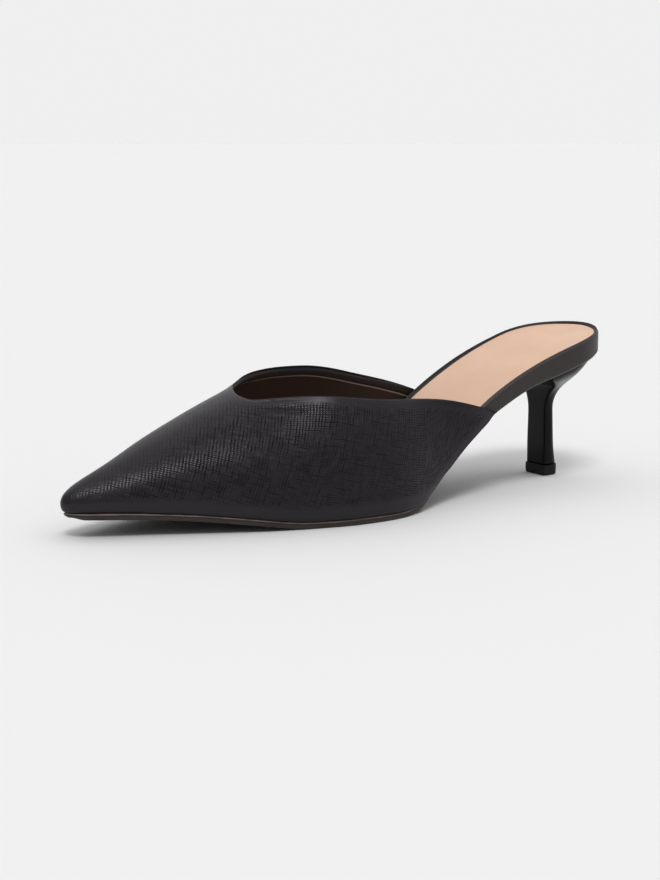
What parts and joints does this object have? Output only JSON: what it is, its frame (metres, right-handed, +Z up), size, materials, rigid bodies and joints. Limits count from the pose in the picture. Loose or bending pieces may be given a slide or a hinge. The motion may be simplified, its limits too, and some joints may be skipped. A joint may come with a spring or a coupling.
{
  "type": "mule",
  "caption": "Pointed mule on a slim flared heel, with a closed vamp, a rounded throat, an open back and a wrapped insole board under a smooth sock.",
  "frame": {"origin": "on the floor, in the middle of the shoe's box seen from above", "axes": "+Z up, the toe points to -Y, the outer side of the foot is at +X"},
  "size_m": [0.0796, 0.2516, 0.0653],
  "materials": {
    "upper_leather": "semi-matte, fine cross-hatched grain",
    "board_wrap": "satin, smooth",
    "sock_leather": "matte, smooth",
    "sole_leather": "satin edge paint, matte underside",
    "heel_lacquer": "satin lacquer",
    "top_piece_rubber": "dull"
  },
  "bodies": {
    "root": {"upper": "upper_leather", "insole_board": "board_wrap", "insole": "sock_leather", "outsole": "sole_leather", "heel": "heel_lacquer", "top_piece": "top_piece_rubber"}
  },
  "joints": []
}
